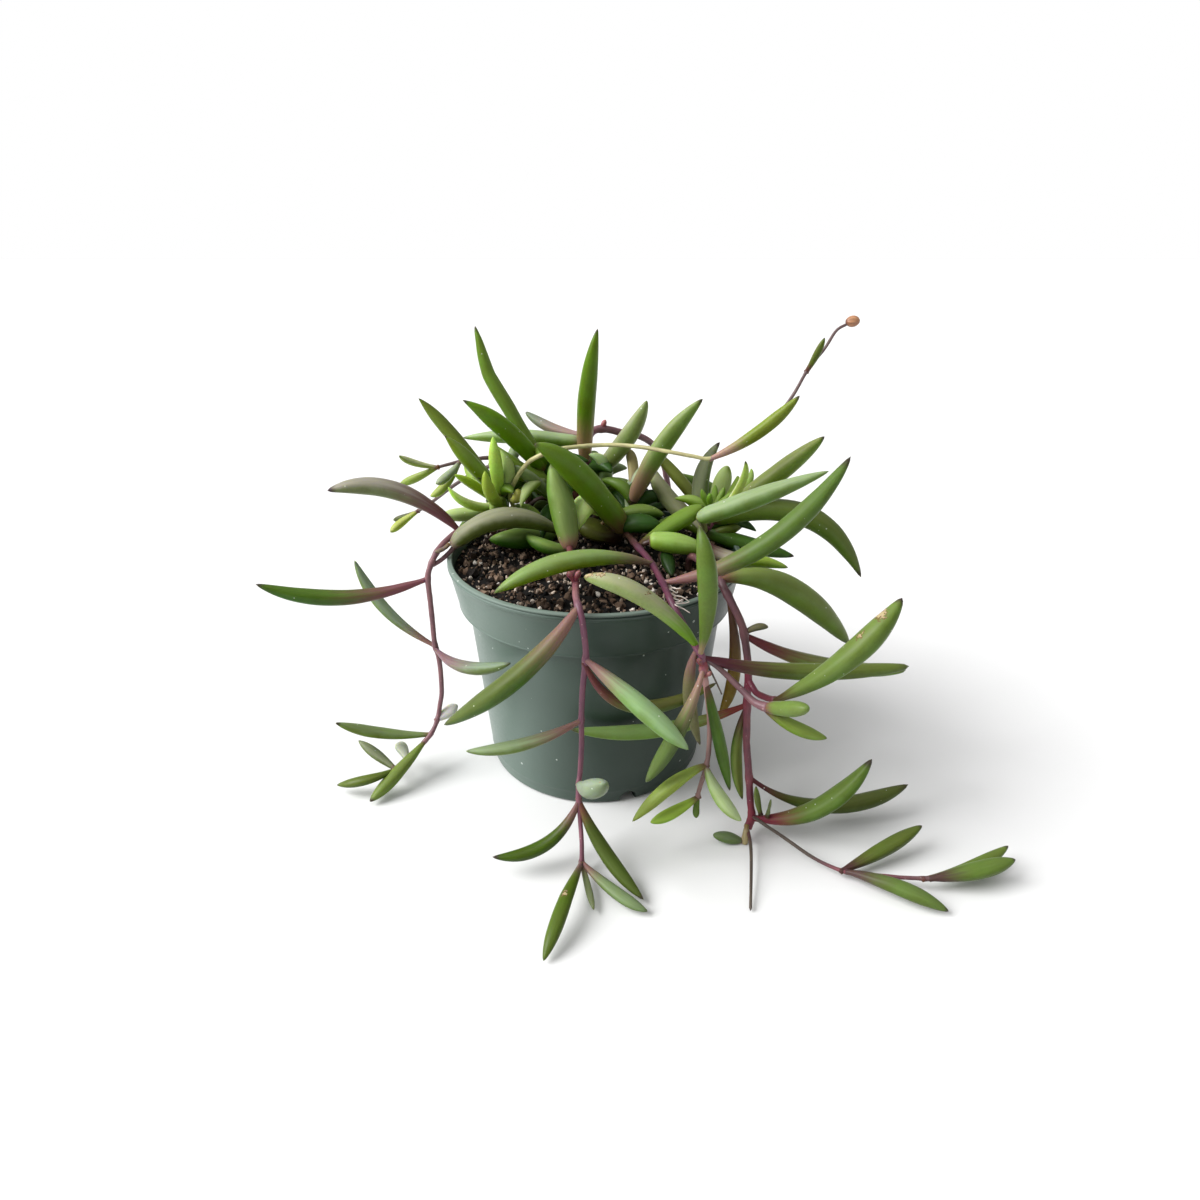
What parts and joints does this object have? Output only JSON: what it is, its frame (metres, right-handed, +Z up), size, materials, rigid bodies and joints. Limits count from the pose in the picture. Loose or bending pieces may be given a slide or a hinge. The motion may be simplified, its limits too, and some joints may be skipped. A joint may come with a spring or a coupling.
{
  "type": "potted ruby necklace succulent",
  "caption": "Trailing succulent with long fleshy pointed leaves on purple stems, growing in peat soil in a round tapered nursery pot with a stepped collar.",
  "frame": {"origin": "middle of the flat underside of the pot, on the surface that it stands on", "axes": "+Z up, -Y towards the front of the plant as pictured, +X to the viewer's right"},
  "size_m": [0.248, 0.198, 0.1603],
  "materials": {
    "pot_plastic": "dark grey-green moulded plastic, satin, with fine dust specks",
    "potting_soil": "coarse black-brown peat crumbs with pale perlite grains",
    "foliage": "waxy fleshy leaf, green with purple stalk and dark tip, on a purple stem",
    "flower_stalk": "dull tan-green stalk with a dry bud"
  },
  "bodies": {
    "root": {"pot": "pot_plastic", "soil": "potting_soil", "left_trailing_stem": "foliage", "front_trailing_stem": "foliage", "centre_right_trailing_stem": "foliage", "right_trailing_stem": "foliage", "left_rosette": "foliage", "left_tall_shoot": "foliage", "middle_shoot": "foliage", "centre_right_shoot": "foliage", "right_rosette": "foliage", "back_left_stem": "foliage", "back_trailing_stem": "foliage", "flower_stem": "flower_stalk"}
  },
  "joints": []
}
